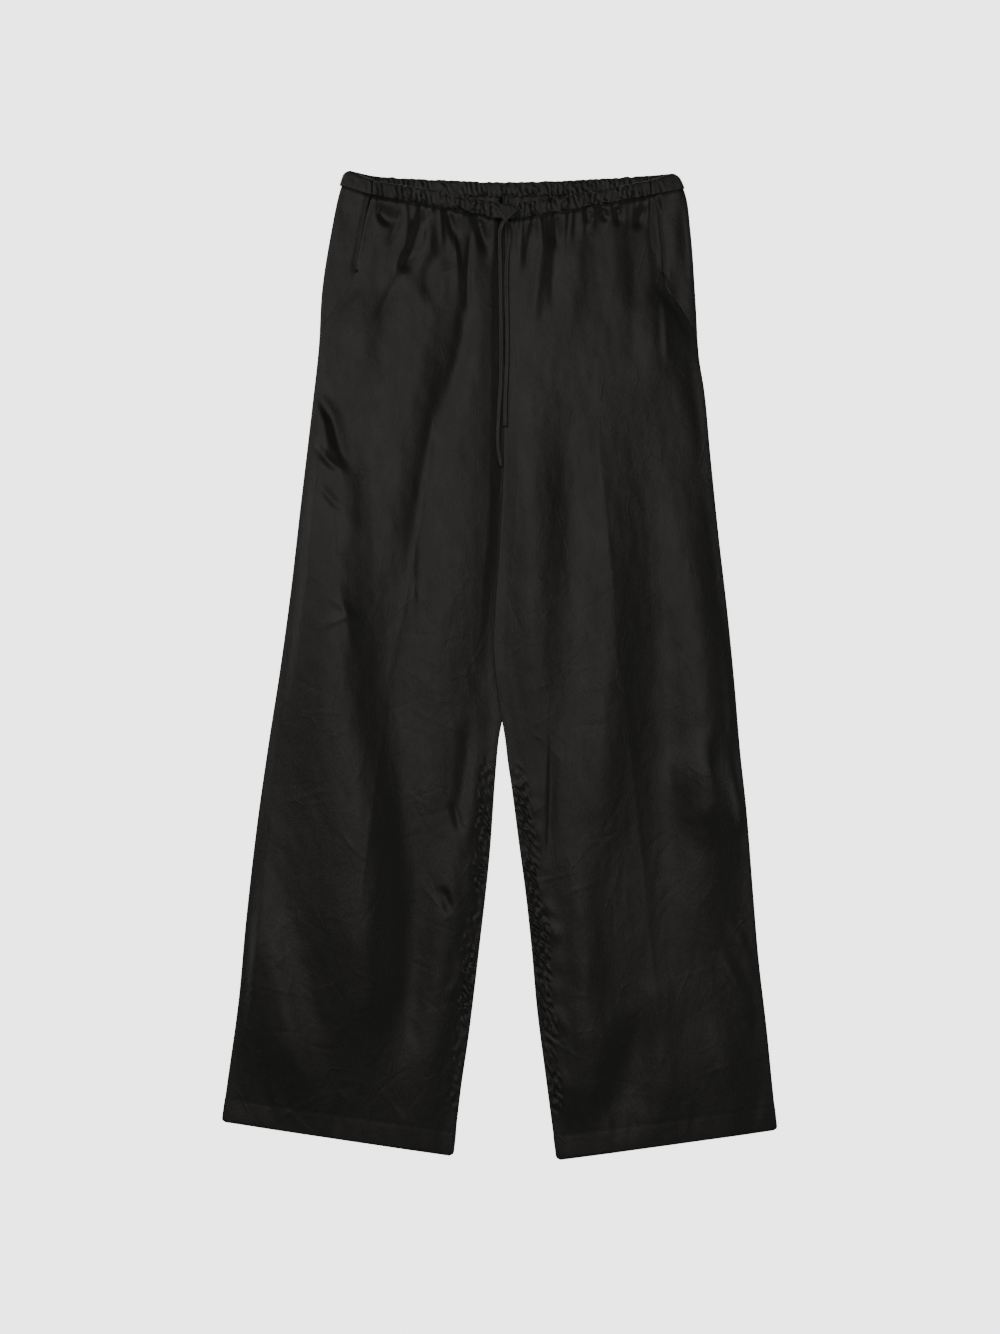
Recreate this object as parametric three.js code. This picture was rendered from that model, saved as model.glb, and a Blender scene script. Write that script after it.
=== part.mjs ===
// Pull-on trousers of black satin with straight wide legs, laid flat on their back.
// Millimetres. +X is the wearer's left, +Y runs from the hems to the waist, +Z is up from the surface.
// The origin is on the surface, below the middle of the garment.
import * as THREE from "three";

// Cloth and seams
const CLOTH = 1.2;
const LEG_LENGTH = 1027; // from the waist seam to the hem, as rows of facets are laid out
const SEAM = 0.3;
const HEM_DEPTH = 25;
const HEM_EXTRA = 0.8;
const HEM_CORNER = 4;

// Waistband: a casing over elastic, gathered in front and behind and flat over the hips
const BAND_WIDTH = 17;
const BAND_CLOTH = 2.4;
const GATHER_PITCH = 7.8;
const GATHER_DEPTH = 0.8;
const GATHER_STEPS = 3;
const GATHER_DRIFT = 1.4; // unevenness of the gathers, in radians of one gather
const GATHER_UNEVEN = 9; // half turns of that unevenness across a band
const BAND_EDGE_ROUND = 0.7;
const BAND_ROWS = [0, 0.2, 0.8, 1];
const BAND_MIDDLE_Y = 527;
const BAND_FOOT_Y = 518;
const SIDE_BAND_BACK = 38;

// Pocket mouth: a slit this far in from the side, open down to its bar tack and sewn from there to the side
const POCKET_INSET = 34;
const POCKET_OPEN = 92;
const POCKET_FOOT = 168;
const POCKET_TUCK = 9;

// Drawstring: a flat tube of the same satin
const STRING_WIDTH = 5;
const STRING_THICK = 2;
const STRING_STEP = 12;
const STRING_SIDES = 8;

// Levels of the layers, from the surface up
const FRONT_FLOOR = CLOTH + SEAM;
const FRONT_BAND_FLOOR = BAND_CLOTH + GATHER_DEPTH / 2 + SEAM;
const SIDE_BAND_HEIGHT = FRONT_BAND_FLOOR + BAND_CLOTH;

// Middle of each band across the waist; the front dips below the back
const FRONT_BAND_LINE = [
  { x: -172, y: 535.5 },
  { x: -141, y: 525.5 },
  { x: -81, y: 515.5 },
  { x: -27, y: 505 },
  { x: 6, y: 499 },
  { x: 56, y: 505.5 },
  { x: 105, y: 513.5 },
  { x: 169, y: 525.5 },
  { x: 200, y: 532.5 },
];
const BACK_BAND_LINE = [
  { x: -172, y: 535.5 },
  { x: -135, y: 529.5 },
  { x: -66, y: 525.5 },
  { x: 0, y: 523 },
  { x: 78, y: 525 },
  { x: 154, y: 529.5 },
  { x: 200, y: 532.5 },
];

// Side edge of each leg, from the hem up
const RIGHT_SIDE = [
  { y: -502, x: -305.5 },
  { y: -459, x: -299.5 },
  { y: -368, x: -287 },
  { y: -282, x: -279 },
  { y: -173, x: -266.5 },
  { y: -82, x: -253.5 },
  { y: -5, x: -241.5 },
  { y: 79, x: -230 },
  { y: 170, x: -219.5 },
  { y: 289, x: -205.5 },
  { y: 348, x: -199 },
  { y: 414, x: -195 },
  { y: 480, x: -184.5 },
  { y: 518, x: -176.5 },
  { y: 543, x: -168 },
];
const LEFT_SIDE = [
  { y: -511, x: 305.5 },
  { y: -465, x: 300.5 },
  { y: -400, x: 294 },
  { y: -322, x: 285 },
  { y: -250, x: 279 },
  { y: -156, x: 271.5 },
  { y: -96, x: 265 },
  { y: -19, x: 258.5 },
  { y: 57, x: 251 },
  { y: 144, x: 241 },
  { y: 232, x: 232 },
  { y: 301, x: 225.5 },
  { y: 339, x: 219.5 },
  { y: 396, x: 216 },
  { y: 479, x: 210 },
  { y: 519, x: 204 },
  { y: 541, x: 193 },
];

// Inner edge of each leg, from the hem up; above the crotch gap both follow the centre seam
const CENTRE_SEAM = [
  { y: 12, x: -6 },
  { y: 138, x: 0.6 },
  { y: 212, x: 4 },
  { y: 485, x: 6 },
  { y: 530, x: 6 },
];
const RIGHT_INNER = [
  { y: -541, x: -51 },
  { y: -463, x: -42 },
  { y: -407, x: -34.5 },
  { y: -308, x: -23.5 },
  { y: -210, x: -13 },
  { y: -118, x: -6.5 },
  { y: -78, x: -1.5 },
  { y: -62, x: 1.2 },
  { y: -47, x: -1.4 },
  ...CENTRE_SEAM,
];
const LEFT_INNER = [
  { y: -541, x: 62.5 },
  { y: -454, x: 51 },
  { y: -378, x: 42 },
  { y: -312, x: 36.5 },
  { y: -250, x: 30 },
  { y: -198, x: 23 },
  { y: -135, x: 16 },
  { y: -82, x: 9.5 },
  { y: -62, x: 3.6 },
  { y: -47, x: -0.4 },
  ...CENTRE_SEAM,
];

// Largest folds of each front leg: a ridge between two places, bowed sideways in its middle
const RIGHT_FOLDS = [
  { name: "deep drag below the band", fromX: -80, fromY: 496, toX: -98, toY: 440, bow: 4, width: 9, rise: 5 },
  { name: "pouch by the pocket", fromX: -134, fromY: 497, toX: -88, toY: 484, bow: 4, width: 9, rise: 3.5 },
  { name: "short ridge", fromX: -50, fromY: 470, toX: -42, toY: 400, bow: 3, width: 7, rise: 4 },
  { name: "long soft fold", fromX: -26, fromY: 470, toX: -86, toY: 150, bow: -16, width: 13, rise: 5 },
  { name: "hip crinkle", fromX: -200, fromY: 292, toX: -166, toY: 206, bow: -4, width: 12, rise: 4 },
  { name: "pressed crease, upper", fromX: -69, fromY: 292, toX: -120, toY: -5, bow: 5, width: 10, rise: 3 },
  { name: "pressed crease, low", fromX: -120, fromY: -5, toX: -192, toY: -490, bow: 4, width: 11, rise: 3.5 },
  { name: "knee star", fromX: -190, fromY: 74, toX: -150, toY: 20, bow: 0, width: 12, rise: 3.5 },
  { name: "outer leg swell", fromX: -206, fromY: 100, toX: -226, toY: -340, bow: -8, width: 22, rise: 4 },
  { name: "inner leg swell", fromX: -26, fromY: -150, toX: -84, toY: -505, bow: 6, width: 16, rise: 6 },
];
const LEFT_FOLDS = [
  { name: "flute by the seam", fromX: 44, fromY: 488, toX: 32, toY: 380, bow: 3, width: 9, rise: 3.5 },
  { name: "flute in the middle", fromX: 84, fromY: 494, toX: 70, toY: 330, bow: 6, width: 12, rise: 3.5 },
  { name: "flute by the pocket", fromX: 128, fromY: 500, toX: 130, toY: 390, bow: -6, width: 11, rise: 4 },
  { name: "hip fold", fromX: 186, fromY: 330, toX: 218, toY: 250, bow: 4, width: 12, rise: 3.5 },
  { name: "thigh swell", fromX: 62, fromY: 250, toX: 100, toY: -120, bow: -8, width: 20, rise: 5 },
  { name: "pressed crease, upper", fromX: 107, fromY: 259, toX: 128, toY: 50, bow: 0, width: 10, rise: 3 },
  { name: "pressed crease, low", fromX: 130, fromY: 40, toX: 181, toY: -495, bow: -6, width: 11, rise: 3.5 },
  { name: "outer leg swell", fromX: 190, fromY: 110, toX: 236, toY: -250, bow: 6, width: 22, rise: 4.5 },
  { name: "side wedge", fromX: 222, fromY: -130, toX: 266, toY: -200, bow: 4, width: 12, rise: 3.5 },
  { name: "calf swell", fromX: 96, fromY: -300, toX: 132, toY: -490, bow: 4, width: 16, rise: 4.5 },
];

// Share of a fold's length over which it fades at each end, and how much of it is left at the hem
const FOLD_FADE = 0.13;
const HEM_CALM = 0.9;
const HEM_FOLDS = 0.4;

// Flutes that run down from the gathers of the front band
const FLUTE_PITCH = 12.5;
const FLUTE_RISE = 2.2;
const FLUTE_REACH = 46;
const FLUTE_SWELL = 61;
const FLUTE_LEAST = 0.4;

// How the cloth comes down from the band, and how far in from an edge it lies flat
const WAIST_RISE = FRONT_BAND_FLOOR - FRONT_FLOOR;
const WAIST_REACH = 26;
const FLAT_EDGE = 16;
const MOUTH_LIFT = CLOTH + SEAM + 0.1;
const MOUTH_REACH = 22;
const FACING_CLEAR = 2;
const LEFT_HEM_DROP = -2.4; // each hem's height at its inner corner, from the mean of the two
const RIGHT_HEM_DROP = 2.2;
const HEM_FIT = 0.2; // share of the length over which a leg's inner edge takes up its own hem's height
const TOP_FIT = 0.1; // share of the length over which a panel's rows take up the curve of its waist seam

// Size of the facets
const FRONT_COLUMNS = 22;
const BACK_COLUMNS = 10;
const FACING_COLUMNS = 4;
const SIDE_BAND_COLUMNS = 16;
const SIDE_BAND_ROWS = 2;
const SIDE_BAND_TURN = 0.25; // share of the side band's columns before and after its fold
const FINE_ROW = 11;
const COARSE_ROW = 44;
const FINE_REACH = 320;
const BACK_ROW = 90;

// Routes of the drawstring's two ends, from where each leaves the casing
const LONG_ROUTE = [
  { x: 20.5, y: 502.5, z: 7.3 },
  { x: 17, y: 499.4, z: 7.4 },
  { x: 13, y: 496, z: 7.3 },
  { x: 9.2, y: 492.3, z: 7.2 },
  { x: 5.5, y: 488.5, z: 7 },
  { x: 2.4, y: 483.2, z: 6.4 },
  { x: 0.5, y: 477, z: 5.6 },
  { x: 0.2, y: 466, z: 4.5 },
  { x: 1, y: 440, z: 4.1 },
  { x: 1.4, y: 405, z: 4.1 },
  { x: 1.6, y: 370, z: 4.1 },
  { x: 1.6, y: 340, z: 4.1 },
  { x: 1.2, y: 310, z: 4.1 },
  { x: -0.8, y: 275, z: 4.1 },
  { x: -1.6, y: 242, z: 4.1 },
  { x: 2.2, y: 218, z: 4.1 },
];
const SHORT_ROUTE = [
  { x: -4, y: 502.5, z: 7.3 },
  { x: -1, y: 498.8, z: 8.4 },
  { x: 2, y: 495, z: 9.2 },
  { x: 4.6, y: 491.8, z: 9.7 },
  { x: 7, y: 488.5, z: 9.8 },
  { x: 9.2, y: 484.5, z: 8.6 },
  { x: 10.6, y: 480, z: 7 },
  { x: 11, y: 473.5, z: 5.8 },
  { x: 10.8, y: 467, z: 5 },
  { x: 9, y: 454, z: 4.3 },
  { x: 7.9, y: 441, z: 4.1 },
  { x: 7.9, y: 400, z: 4.1 },
  { x: 8.6, y: 370, z: 4.1 },
  { x: 8.2, y: 331, z: 4.1 },
  { x: 6.4, y: 290, z: 4.1 },
  { x: 6.2, y: 262, z: 4.1 },
];

const SATIN = { color: 0x201f1e, roughness: 0.42, metalness: 0 };

const mix = THREE.MathUtils.lerp;
const ease = THREE.MathUtils.smoothstep;

// A smooth line through the rows of a table: the value of one column where another has the given value.
function lineThrough(rows, known, wanted) {
  const line = new THREE.CubicInterpolant(
    rows.map((row) => row[known]),
    rows.map((row) => row[wanted]),
    1,
  );
  return (value) => line.evaluate(value)[0];
}

const frontBandY = lineThrough(FRONT_BAND_LINE, "x", "y");
const backBandY = lineThrough(BACK_BAND_LINE, "x", "y");

// A closed wall over a grid. The places across run towards +X and those along run away from the waist.
function wallGeometry(across, along, upper, lower) {
  const positions = [];
  const faces = [];
  const width = across.length;
  const layer = width * along.length;
  const quad = (a, b, c, d) => faces.push(a, b, c, a, c, d);
  for (const surface of [upper, lower]) {
    for (const v of along) {
      for (const u of across) {
        positions.push(...surface(u, v).toArray());
      }
    }
  }
  for (let j = 0; j + 1 < along.length; j += 1) {
    for (let i = 0; i + 1 < width; i += 1) {
      const a = j * width + i;
      const b = a + width;
      quad(a, b, b + 1, a + 1);
      quad(a + layer, a + layer + 1, b + layer + 1, b + layer);
    }
  }
  for (let i = 0; i + 1 < width; i += 1) {
    const top = i;
    const foot = layer - width + i;
    quad(top, top + 1, top + 1 + layer, top + layer);
    quad(foot + 1, foot, foot + layer, foot + 1 + layer);
  }
  for (let j = 0; j + 1 < along.length; j += 1) {
    const start = j * width;
    const end = start + width - 1;
    quad(start + width, start, start + layer, start + width + layer);
    quad(end, end + width, end + width + layer, end + layer);
  }
  return closedGeometry(positions, faces);
}

function closedGeometry(positions, faces) {
  const geometry = new THREE.BufferGeometry();
  geometry.setAttribute("position", new THREE.Float32BufferAttribute(positions, 3));
  geometry.setIndex(faces);
  geometry.computeVertexNormals();
  return geometry;
}

function evenShares(count) {
  return Array.from({ length: count + 1 }, (_, i) => i / count);
}

// Rows from the waist to the hem as shares of the length, closest together near the waist.
function rowShares(fineRow, coarseRow) {
  const shares = [];
  let down = 0;
  while (down < LEG_LENGTH - HEM_DEPTH - fineRow) {
    shares.push(down / LEG_LENGTH);
    down += mix(fineRow, coarseRow, Math.min(1, down / FINE_REACH));
  }
  for (const up of [HEM_DEPTH + 2, HEM_DEPTH, HEM_CORNER, 0]) {
    shares.push(1 - up / LEG_LENGTH);
  }
  return shares;
}

// Everything that one leg needs: its edges, its seams with the bands and its folds.
function legShape(sideRows, innerRows, sign, hemDrop, folds) {
  const sideX = lineThrough(sideRows, "y", "x");
  const innerX = lineThrough(innerRows, "y", "x");
  return {
    sign,
    hemDrop,
    folds,
    sideX,
    innerEdge: (y) => innerX(y) + (sign * SEAM) / 2,
    hemSideY: sideRows[0].y,
    hemInnerY: innerRows[0].y,
    bandSeamX: sideX(BAND_MIDDLE_Y) - sign * POCKET_INSET,
  };
}

const LEGS = {
  left: legShape(LEFT_SIDE, LEFT_INNER, 1, LEFT_HEM_DROP, LEFT_FOLDS),
  right: legShape(RIGHT_SIDE, RIGHT_INNER, -1, RIGHT_HEM_DROP, RIGHT_FOLDS),
};

// How far the cut edge of a front leg lies in from the side, at a distance below the waist seam.
function mouthInset(below) {
  return POCKET_INSET * (1 - ease(below, POCKET_OPEN, POCKET_FOOT));
}

function noInset() {
  return 0;
}

// The place at a share across a leg, from -X to +X, and a share down it, from the waist seam to the hem.
function panelPlace(leg, bandY, inset, u, v) {
  const seamY = (x) => bandY(x) - BAND_WIDTH / 2 - SEAM;
  const corner = v === 1 ? HEM_CORNER : 0;
  const topSideY = seamY(leg.sideX(BAND_FOOT_Y));
  const topInnerY = seamY(leg.innerEdge(BAND_FOOT_Y));
  const sideY = mix(topSideY, leg.hemSideY, v);
  const innerY = mix(topInnerY, leg.hemInnerY, v) + leg.hemDrop * ease(v, 1 - HEM_FIT, 1);
  const side = leg.sideX(sideY) - leg.sign * (inset(topSideY - sideY) + corner);
  const inner = leg.innerEdge(innerY) + leg.sign * corner;
  const fromInner = leg.sign > 0 ? u : 1 - u;
  const x = mix(inner, side, fromInner);
  const straightTop = mix(topInnerY, topSideY, fromInner);
  const y = mix(innerY, sideY, fromInner) + (1 - ease(v, 0, TOP_FIT)) * (seamY(x) - straightTop);
  return new THREE.Vector2(x, y);
}

function isHem(v) {
  return v > 1 - (HEM_DEPTH + 1) / LEG_LENGTH;
}

// How far the cloth below the front band is lifted by the band's thickness.
function waistLift(below) {
  return WAIST_RISE * (1 - ease(below, 0, WAIST_REACH));
}

// How far a front leg's cloth is lifted where it lies over the pocket facing.
function pocketLift(leg, place, below) {
  const fromSide = leg.sign * (leg.sideX(place.y) - place.x);
  const clear = POCKET_INSET + POCKET_TUCK + FACING_CLEAR;
  const across = 1 - ease(fromSide, clear, clear + MOUTH_REACH);
  return MOUTH_LIFT * across * (1 - ease(below, POCKET_FOOT, POCKET_FOOT + MOUTH_REACH));
}

// Height of the flutes that the gathers leave below the front band.
function fluteHeight(x, below) {
  const swell = mix(FLUTE_LEAST, 1, 0.5 + 0.5 * Math.sin((2 * Math.PI * x) / FLUTE_SWELL));
  const wave = 0.5 + 0.5 * Math.sin((2 * Math.PI * x) / FLUTE_PITCH);
  return FLUTE_RISE * swell * wave * (1 - ease(below, 0, FLUTE_REACH));
}

// Height of one fold at a place: a soft ridge along a bowed line, fading out at both ends.
function foldHeight(fold, place) {
  const chord = new THREE.Vector2(fold.toX - fold.fromX, fold.toY - fold.fromY);
  const away = new THREE.Vector2(place.x - fold.fromX, place.y - fold.fromY);
  const along = away.dot(chord) / chord.lengthSq();
  const aside = -away.cross(chord) / chord.length() - 4 * fold.bow * along * (1 - along);
  const ends = ease(along, -FOLD_FADE, FOLD_FADE) * (1 - ease(along, 1 - FOLD_FADE, 1 + FOLD_FADE));
  return fold.rise * ends * Math.exp(-((aside / fold.width) ** 2));
}

// Height of the underside of a front leg above the surface.
function frontFloor(leg, u, v, place) {
  const below = frontBandY(place.x) - BAND_WIDTH / 2 - SEAM - place.y;
  const span = Math.abs(leg.sideX(place.y) - leg.innerEdge(place.y));
  const flatEdges = ease(Math.min(u, 1 - u) * span, 0, FLAT_EDGE);
  const flatHem = mix(1, HEM_FOLDS, ease(v, HEM_CALM, 1));
  const folded = leg.folds.reduce((sum, fold) => sum + foldHeight(fold, place), 0);
  const raised = flatEdges * (fluteHeight(place.x, below) + flatHem * folded);
  const hem = isHem(v) ? HEM_EXTRA : 0;
  return FRONT_FLOOR + waistLift(below) + pocketLift(leg, place, below) + raised + hem;
}

function frontLeg(leg) {
  const surface = (extra) => (u, v) => {
    const place = panelPlace(leg, frontBandY, mouthInset, u, v);
    const hem = isHem(v) ? HEM_EXTRA : 0;
    const floor = frontFloor(leg, u, v, place);
    return new THREE.Vector3(place.x, place.y, extra ? floor + CLOTH + hem : floor);
  };
  const rows = rowShares(FINE_ROW, COARSE_ROW);
  return wallGeometry(evenShares(FRONT_COLUMNS), rows, surface(true), surface(false));
}

function backLeg(leg) {
  const surface = (top) => (u, v) => {
    const place = panelPlace(leg, backBandY, noInset, u, v);
    const hem = isHem(v) ? HEM_EXTRA : 0;
    return new THREE.Vector3(place.x, place.y, top ? CLOTH + hem : 0);
  };
  const rows = rowShares(BACK_ROW / 2, BACK_ROW);
  return wallGeometry(evenShares(BACK_COLUMNS), rows, surface(true), surface(false));
}

// The pocket facing: it fills the corner between the mouth and the side, and tucks under the front leg.
function pocketFacing(leg) {
  const length = POCKET_FOOT - POCKET_TUCK;
  const surface = (thickness) => (u, v) => {
    const fromSide = leg.sign > 0 ? 1 - u : u;
    const below = v * length;
    const reach = mouthInset(below) + POCKET_TUCK;
    const seamY = frontBandY(leg.bandSeamX) - BAND_WIDTH / 2 - SEAM;
    const sideTopY = frontBandY(leg.sideX(BAND_FOOT_Y)) - BAND_WIDTH / 2 - SEAM;
    const y = mix(sideTopY, seamY, fromSide * (1 - v)) - below;
    const x = leg.sideX(y) - leg.sign * fromSide * reach;
    const top = frontBandY(x) - BAND_WIDTH / 2 - SEAM;
    const fitted = v === 0 ? top : y;
    return new THREE.Vector3(x, fitted, FRONT_FLOOR + waistLift(top - fitted) + thickness);
  };
  const rows = evenShares(Math.round(length / FINE_ROW));
  return wallGeometry(evenShares(FACING_COLUMNS), rows, surface(CLOTH), surface(0));
}

// A gathered casing between two seams: flat below, with a ridge for each gather above.
function gatheredBand(fromX, toX, bandY, floor) {
  const gathers = Math.round((toX - fromX) / GATHER_PITCH);
  const surface = (top) => (u, v) => {
    const x = mix(fromX, toX, u);
    const turns = 2 * Math.PI * gathers * u + GATHER_DRIFT * Math.sin(GATHER_UNEVEN * Math.PI * u);
    const wave = Math.sin(turns);
    const rise = (wave * GATHER_DEPTH) / 2;
    const scallop = v === 0 ? rise : 0;
    const round = v === 0 || v === 1 ? BAND_EDGE_ROUND : 0;
    const y = bandY(x) + (0.5 - v) * BAND_WIDTH + scallop;
    return new THREE.Vector3(x, y, floor + (top ? BAND_CLOTH - round + rise : 0));
  };
  return wallGeometry(evenShares(gathers * GATHER_STEPS), BAND_ROWS, surface(true), surface(false));
}

// The flat length of band over one hip: a wall folded round the side, from the front seam to the back seam.
function sideBand(leg) {
  const radius = SIDE_BAND_HEIGHT / 2;
  const surface = (depth) => (u, v) => {
    const share = leg.sign > 0 ? u : 1 - u;
    const around = Math.PI * ease(share, SIDE_BAND_TURN, 1 - SIDE_BAND_TURN);
    const isFront = share < 0.5;
    const fromSeam = Math.min(1, (isFront ? share : 1 - share) / SIDE_BAND_TURN);
    const foldX = leg.sideX(BAND_MIDDLE_Y + (0.5 - v) * BAND_WIDTH) - leg.sign * radius;
    const straightX = mix(isFront ? leg.bandSeamX : backSeamX(leg), foldX, fromSeam);
    const x = straightX + leg.sign * (radius - depth) * Math.sin(around);
    const y = (isFront ? frontBandY : backBandY)(straightX) + (0.5 - v) * BAND_WIDTH;
    return new THREE.Vector3(x, y, radius + (radius - depth) * Math.cos(around));
  };
  const across = evenShares(SIDE_BAND_COLUMNS);
  const down = evenShares(SIDE_BAND_ROWS);
  return wallGeometry(across, down, surface(0), surface(BAND_CLOTH));
}

function backSeamX(leg) {
  return leg.sideX(BAND_MIDDLE_Y) - leg.sign * SIDE_BAND_BACK;
}

// One end of the drawstring: a flat tube along its route.
function drawstring(route) {
  const section = new THREE.Shape();
  section.absellipse(0, 0, STRING_THICK / 2, STRING_WIDTH / 2, 0, 2 * Math.PI);
  const path = new THREE.CatmullRomCurve3(route.map((point) => new THREE.Vector3(point.x, point.y, point.z)));
  const steps = Math.round(path.getLength() / STRING_STEP);
  return new THREE.ExtrudeGeometry(section, {
    steps,
    curveSegments: STRING_SIDES / 2, // an ellipse takes two points for each
    extrudePath: path,
    bevelEnabled: false,
  });
}

function piece(name, geometry) {
  const mesh = new THREE.Mesh(geometry, new THREE.MeshStandardMaterial(SATIN));
  mesh.name = name;
  return mesh;
}

const trousers = new THREE.Group();
for (const [side, leg] of Object.entries(LEGS)) {
  trousers.add(piece(`leg_front_${side}`, frontLeg(leg)));
  trousers.add(piece(`leg_back_${side}`, backLeg(leg)));
  trousers.add(piece(`pocket_facing_${side}`, pocketFacing(leg)));
  trousers.add(piece(`waistband_side_${side}`, sideBand(leg)));
}
const { left, right } = LEGS;
const frontBand = gatheredBand(right.bandSeamX + SEAM, left.bandSeamX - SEAM, frontBandY, FRONT_BAND_FLOOR);
const backBand = gatheredBand(backSeamX(right) + SEAM, backSeamX(left) - SEAM, backBandY, 0);
trousers.add(piece("waistband_front", frontBand));
trousers.add(piece("waistband_back", backBand));
trousers.add(piece("drawstring_long", drawstring(LONG_ROUTE)));
trousers.add(piece("drawstring_short", drawstring(SHORT_ROUTE)));

export default trousers;
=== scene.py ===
import bpy
import numpy as np
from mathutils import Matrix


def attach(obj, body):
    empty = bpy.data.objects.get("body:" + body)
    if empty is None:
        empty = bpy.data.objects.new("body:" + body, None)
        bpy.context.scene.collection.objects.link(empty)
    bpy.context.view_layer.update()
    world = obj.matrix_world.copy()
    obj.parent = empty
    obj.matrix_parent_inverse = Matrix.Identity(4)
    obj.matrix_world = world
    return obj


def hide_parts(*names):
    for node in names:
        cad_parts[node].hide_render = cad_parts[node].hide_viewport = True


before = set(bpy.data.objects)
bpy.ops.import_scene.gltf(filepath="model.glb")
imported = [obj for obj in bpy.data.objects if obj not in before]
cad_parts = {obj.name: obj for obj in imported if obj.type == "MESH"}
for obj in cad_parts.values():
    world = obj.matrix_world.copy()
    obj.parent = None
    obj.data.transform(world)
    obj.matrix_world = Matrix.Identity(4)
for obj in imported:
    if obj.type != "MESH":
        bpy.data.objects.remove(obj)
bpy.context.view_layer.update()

MM = 0.001

# Camera, straight above the middle of the picture
CAMERA_LENS = 100.0
CAMERA_SENSOR = 36.0
CAMERA_PLACE = (0.00055, -0.00165)
PICTURE_HEIGHT = 1.4674

# Cloth and seams
CLOTH = 1.2 * MM
SEAM = 0.3 * MM
EDGE_ROLL = 0.5 * MM
SEWN = 0.1 * MM  # how far two rolled edges press into each other along a seam
TUCKED_UP = 3.5 * MM  # how far the back legs reach up into their casing
HEM_ROLL = 0.9 * MM
ROLL_STEPS = 6
TURNED_IN = (2 * MM, 6 * MM, 11 * MM)
LEG_LENGTH = 1027 * MM
HEM_DEPTH = 25 * MM
HEM_STEP = 0.3 * MM
HEM_STEP_SPAN = (HEM_DEPTH - 18 * MM, HEM_DEPTH + 8 * MM)
HEM_ROLL_SPAN = (HEM_DEPTH - 3 * MM, HEM_DEPTH + 4 * MM)
HEM_CORNER = 4 * MM
LEG_COLUMNS = 150
LEG_ROWS = 540
BACK_COLUMNS = 84
BACK_ROWS = 300

# Waistband
BAND_WIDTH = 17 * MM
BAND_CLOTH = 2.4 * MM
BAND_MIDDLE_Y = 527 * MM
BAND_FOOT_Y = 518 * MM
SIDE_BAND_BACK = 38 * MM
BAND_SQUARENESS = 0.55
BAND_SIDES = 40
BAND_CORNER = 6 * MM
BAND_STEP = 0.9 * MM
GATHER_PITCH = 7.8 * MM
GATHER_DEPTH = 0.85 * MM
BACK_BAND_TOP = 3 * MM
FRONT_BAND_FOOT = 3.05 * MM
EXITS_X = 8 * MM
EXIT_PATCH = 10 * MM
EXIT_CALM = 0.9
SIDE_GATHERS = 0.12
SIDE_FRONT_POINTS = 36
SIDE_BACK_POINTS = 38
SIDE_TURN_POINTS = 12

# Pleats of the casings
PLEAT_DRIFT = 3.2
PLEAT_DRIFT_SIZE = (20 * MM, 26 * MM)
PLEAT_BEHIND = 1.2  # how far the pleats on the back of a casing run behind those on its front
PLEAT_SWELL = 0.7
PLEAT_SWELL_SIZE = (11 * MM, 14 * MM)
PLEAT_SWELL_SPAN = (0.05, 1.5)
PLEAT_POWER = 0.75
PLEAT_MIDDLE = 0.6
FINE_PLEATS = 0.75
FINE_PLEAT_SIZE = (3 * MM, 5 * MM)
FINE_PLEAT_SLANT = 0.3
PLEAT_WIDENING = 0.05
PLEAT_WIDENING_SIZE = 5 * MM
CASING_CLOSING = 1.1 * MM

# Pocket mouth, in from the side
POCKET_INSET = 34 * MM
POCKET_OPEN = 92 * MM
POCKET_FOOT = 168 * MM
POCKET_TUCK = 9 * MM
SEWN_SPAN = (POCKET_OPEN - 4 * MM, POCKET_OPEN + 14 * MM)
FACING_COLUMNS = 48
FACING_ROWS = 110

# Levels of the layers, from the surface up
REST_LEVEL = 0.05 * MM
ANY_LEVEL = 1.0  # far above the cloth, for a casing whose upper side has no limit
BACK_LEVEL = 0.15 * MM
FRONT_FLOOR = CLOTH + SEAM
FRONT_LEVEL = FRONT_FLOOR + CLOTH
FRONT_BAND_LEVEL = 4.4 * MM
BACK_BAND_LEVEL = 1.3 * MM

# Lifts, drops and flat parts of the legs
WAIST_RISE = 1.6 * MM
WAIST_REACH = 26 * MM
MOUTH_LIFT = 1.4 * MM
MOUTH_REACH = 30 * MM
SEWN_FLAT = 0.8  # how far the lift over a pocket facing is taken back where its seam is sewn shut
TUCK_DROP = 0.9 * MM
FACING_CLEAR = 2 * MM
FLAT_EDGE = 16 * MM
LOFT = 3.4 * MM
LEFT_HEM_DROP = -2.4 * MM
RIGHT_HEM_DROP = 2.2 * MM
LEFT_MOUTH_RISE = 1.8 * MM
RIGHT_MOUTH_RISE = 0.6 * MM
HEM_FIT = 0.2
TOP_FIT = 0.1

# Drawstring: a flat tube of the same satin
STRING_WIDTH = 5 * MM
STRING_THICK = 2 * MM
STRING_STEP = 1.2 * MM
STRING_SIDES = 28
STRING_SQUARENESS = 0.4
STRING_TILT = 0.1
STRING_TWIST = 0.1
STRING_TWIST_SIZE = 60 * MM
STRING_TWIST_RISE = 0.5
STRING_PINCH = 0.12
STRING_PINCH_SIZE = 22 * MM
STRING_CLOSING = 0.9 * MM
STRING_SEAM = 0.3
STRING_SEAM_ASIDE = 1.1 * MM
STRING_SEAM_WIDTH = 0.4 * MM
STRING_STITCH = 4.5 * MM  # from the end of a string to the stitches that close it
STRING_STITCH_LENGTH = 1.1 * MM
STRING_STITCHES_ASIDE = (-1.3, 0, 1.3)  # in millimetres


def table(columns, *rows):
    """A short table: each row as a dictionary by column."""
    return [dict(zip(columns.split(), row)) for row in rows]


def millimetres(columns, *rows):
    """A short table of lengths in millimetres: each row as a dictionary by column, in metres."""
    return [
        {name: value if isinstance(value, str) else value * MM for name, value in row.items()}
        for row in table(columns, *rows)
    ]


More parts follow.
